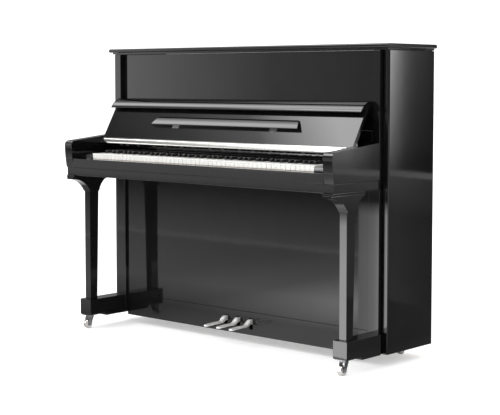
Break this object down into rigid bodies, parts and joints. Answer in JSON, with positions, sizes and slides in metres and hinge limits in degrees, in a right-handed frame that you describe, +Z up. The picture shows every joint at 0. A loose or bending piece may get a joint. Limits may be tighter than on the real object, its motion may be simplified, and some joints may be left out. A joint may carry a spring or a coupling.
{
  "type": "upright piano",
  "caption": "Black lacquered upright piano with front legs on casters, folding fallboard and lip, music shelf, hinged lid, pedals and open-backed string frame.",
  "frame": {"origin": "on the floor, under the middle of the whole piano", "axes": "+X towards the player's right along the keyboard, +Y from the player towards the wall, +Z up"},
  "size_m": [1.539, 0.61, 1.2294],
  "materials": {
    "black_polyester": "high-gloss black polyester lacquer",
    "key_white": "polished white acrylic covers on spruce sticks",
    "key_black": "satin black",
    "beech": "clear lacquered beech",
    "spruce": "varnished spruce and maple",
    "felt": "pressed wool felt on wood",
    "grey_felt": "grey felt over a wooden strip",
    "iron": "gold bronzed cast iron",
    "steel": "bright steel",
    "chrome": "polished chrome"
  },
  "bodies": {
    "case": {"side_panel_left": "black_polyester", "side_panel_right": "black_polyester", "front_stiles": "black_polyester", "arm_left": "black_polyester", "arm_right": "black_polyester", "key_bed": "black_polyester", "key_slip": "black_polyester", "key_blocks": "black_polyester", "name_strip": "grey_felt", "upper_panel": "black_polyester", "lower_panel": "black_polyester", "plinth": "black_polyester", "bottom_board": "beech", "fallboard_rail": "black_polyester", "lid_rear": "black_polyester", "lid_hinge_rear_leaf": "steel", "front_legs": "black_polyester", "toe_blocks": "black_polyester", "caster_plates": "chrome", "key_frame": "beech", "wippens": "spruce", "action_frame": "iron", "back_frame": "beech", "pin_block": "beech", "soundboard": "spruce", "bridges": "spruce", "iron_plate": "iron", "tuning_pins": "steel", "strings": "steel", "trapwork": "spruce"},
    "lid": {"lid_front": "black_polyester", "lid_hinge_front_leaf": "steel"},
    "fallboard": {"fallboard": "black_polyester", "fallboard_hardware": "chrome"},
    "lip": {"fallboard_lip": "black_polyester"},
    "shelf": {"music_shelf": "black_polyester"},
    "hammer_row": {"hammers": "felt", "hammer_rest_rail": "felt"},
    "damper_row": {"dampers": "felt"},
    "muffler": {"muffler_rail": "felt"},
    "pedal_left": {"pedal_left": "chrome"},
    "pedal_middle": {"pedal_middle": "chrome"},
    "pedal_right": {"pedal_right": "chrome"},
    "fork_left": {"caster_fork_left": "chrome"},
    "fork_right": {"caster_fork_right": "chrome"},
    "wheel_left": {"caster_wheel_left": "chrome"},
    "wheel_right": {"caster_wheel_right": "chrome"},
    "rollers": {"rear_rollers": "chrome"},
    "naturals_c": {"white_key_c": "key_white"},
    "naturals_d": {"white_key_d": "key_white"},
    "naturals_e": {"white_key_e": "key_white"},
    "naturals_f": {"white_key_f": "key_white"},
    "naturals_g": {"white_key_g": "key_white"},
    "naturals_a": {"white_key_a": "key_white"},
    "naturals_b": {"white_key_b": "key_white"},
    "sharps_c": {"sharp_key_c": "key_black"},
    "sharps_d": {"sharp_key_d": "key_black"},
    "sharps_f": {"sharp_key_f": "key_black"},
    "sharps_g": {"sharp_key_g": "key_black"},
    "sharps_a": {"sharp_key_a": "key_black"}
  },
  "joints": [
    {"name": "fallboard_close", "type": "hinge", "parent": "case", "child": "fallboard", "pos_m": [0, -0.098, 0.836], "axis": [1, 0, 0], "range_deg": [0, 122]},
    {"name": "lip_fold", "type": "hinge", "parent": "fallboard", "child": "lip", "pos_m": [0, -0.03036, 0.99854], "axis": [-1, 0, 0], "range_deg": [0, 66.5]},
    {"name": "music_shelf_open", "type": "hinge", "parent": "fallboard", "child": "shelf", "pos_m": [0, -0.09148, 0.89353], "axis": [-1, 0, 0], "range_deg": [-90, 0]},
    {"name": "lid_open", "type": "hinge", "parent": "case", "child": "lid", "pos_m": [0, 0.14675, 1.228], "axis": [-1, 0, 0], "range_deg": [0, 178]},
    {"name": "white_key_c_press", "type": "hinge", "parent": "case", "child": "naturals_c", "pos_m": [0, -0.038, 0.745], "axis": [1, 0, 0], "range_deg": [0, 2.67], "stiffness_Nm_per_rad": 3, "springref_deg": -17.19},
    {"name": "white_key_d_press", "type": "hinge", "parent": "case", "child": "naturals_d", "pos_m": [0, -0.038, 0.745], "axis": [1, 0, 0], "range_deg": [0, 2.67], "stiffness_Nm_per_rad": 3, "springref_deg": -17.19},
    {"name": "white_key_e_press", "type": "hinge", "parent": "case", "child": "naturals_e", "pos_m": [0, -0.038, 0.745], "axis": [1, 0, 0], "range_deg": [0, 2.67], "stiffness_Nm_per_rad": 3, "springref_deg": -17.19},
    {"name": "white_key_f_press", "type": "hinge", "parent": "case", "child": "naturals_f", "pos_m": [0, -0.038, 0.745], "axis": [1, 0, 0], "range_deg": [0, 2.67], "stiffness_Nm_per_rad": 3, "springref_deg": -17.19},
    {"name": "white_key_g_press", "type": "hinge", "parent": "case", "child": "naturals_g", "pos_m": [0, -0.038, 0.745], "axis": [1, 0, 0], "range_deg": [0, 2.67], "stiffness_Nm_per_rad": 3, "springref_deg": -17.19},
    {"name": "white_key_a_press", "type": "hinge", "parent": "case", "child": "naturals_a", "pos_m": [0, -0.038, 0.745], "axis": [1, 0, 0], "range_deg": [0, 2.67], "stiffness_Nm_per_rad": 3, "springref_deg": -17.19},
    {"name": "white_key_b_press", "type": "hinge", "parent": "case", "child": "naturals_b", "pos_m": [0, -0.038, 0.745], "axis": [1, 0, 0], "range_deg": [0, 2.67], "stiffness_Nm_per_rad": 3, "springref_deg": -17.19},
    {"name": "sharp_key_c_press", "type": "hinge", "parent": "case", "child": "sharps_c", "pos_m": [0, -0.038, 0.745], "axis": [1, 0, 0], "range_deg": [0, 2.67], "stiffness_Nm_per_rad": 3, "springref_deg": -17.19},
    {"name": "sharp_key_d_press", "type": "hinge", "parent": "case", "child": "sharps_d", "pos_m": [0, -0.038, 0.745], "axis": [1, 0, 0], "range_deg": [0, 2.67], "stiffness_Nm_per_rad": 3, "springref_deg": -17.19},
    {"name": "sharp_key_f_press", "type": "hinge", "parent": "case", "child": "sharps_f", "pos_m": [0, -0.038, 0.745], "axis": [1, 0, 0], "range_deg": [0, 2.67], "stiffness_Nm_per_rad": 3, "springref_deg": -17.19},
    {"name": "sharp_key_g_press", "type": "hinge", "parent": "case", "child": "sharps_g", "pos_m": [0, -0.038, 0.745], "axis": [1, 0, 0], "range_deg": [0, 2.67], "stiffness_Nm_per_rad": 3, "springref_deg": -17.19},
    {"name": "sharp_key_a_press", "type": "hinge", "parent": "case", "child": "sharps_a", "pos_m": [0, -0.038, 0.745], "axis": [1, 0, 0], "range_deg": [0, 2.67], "stiffness_Nm_per_rad": 3, "springref_deg": -17.19},
    {"name": "pedal_left_press", "type": "hinge", "parent": "case", "child": "pedal_left", "pos_m": [0, 0.047, 0.085], "axis": [1, 0, 0], "range_deg": [0, 6.5], "stiffness_Nm_per_rad": 20, "springref_deg": -10.03},
    {"name": "pedal_middle_press", "type": "hinge", "parent": "case", "child": "pedal_middle", "pos_m": [0, 0.047, 0.085], "axis": [1, 0, 0], "range_deg": [0, 6.5], "stiffness_Nm_per_rad": 20, "springref_deg": -10.03},
    {"name": "pedal_right_press", "type": "hinge", "parent": "case", "child": "pedal_right", "pos_m": [0, 0.047, 0.085], "axis": [1, 0, 0], "range_deg": [0, 6.5], "stiffness_Nm_per_rad": 20, "springref_deg": -10.03},
    {"name": "hammers_follow", "type": "hinge", "parent": "case", "child": "hammer_row", "pos_m": [0, 0.112, 0.88], "axis": [-1, 0, 0], "range_deg": [0, 8]},
    {"name": "dampers_follow", "type": "hinge", "parent": "case", "child": "damper_row", "pos_m": [0, 0.138, 0.82], "axis": [1, 0, 0], "range_deg": [0, 5.5]},
    {"name": "muffler_follow", "type": "slide", "parent": "case", "child": "muffler", "axis": [0, 0, -1], "range_m": [0, 0.031]},
    {"name": "swivel_left", "type": "hinge", "parent": "case", "child": "fork_left", "pos_m": [-0.70691, -0.1935, 0.061], "axis": [0, 0, 1], "continuous": true},
    {"name": "wheel_left", "type": "hinge", "parent": "fork_left", "child": "wheel_left", "pos_m": [-0.70691, -0.2055, 0.02], "axis": [1, 0, 0], "continuous": true},
    {"name": "swivel_right", "type": "hinge", "parent": "case", "child": "fork_right", "pos_m": [0.70691, -0.1935, 0.061], "axis": [0, 0, 1], "continuous": true},
    {"name": "wheel_right", "type": "hinge", "parent": "fork_right", "child": "wheel_right", "pos_m": [0.70691, -0.2055, 0.02], "axis": [1, 0, 0], "continuous": true},
    {"name": "wheel_rear", "type": "hinge", "parent": "case", "child": "rollers", "pos_m": [0, 0.26, 0.02], "axis": [1, 0, 0], "continuous": true}
  ],
  "couplings": [
    {"joint": "lip_fold", "follows": "fallboard_close", "ratio": 0.541},
    {"joint": "hammers_follow", "follows": "pedal_left_press", "ratio": 1.2},
    {"joint": "dampers_follow", "follows": "pedal_right_press", "ratio": 0.8},
    {"joint": "muffler_follow", "follows": "pedal_middle_press", "m_per_rad": 0.264}
  ]
}
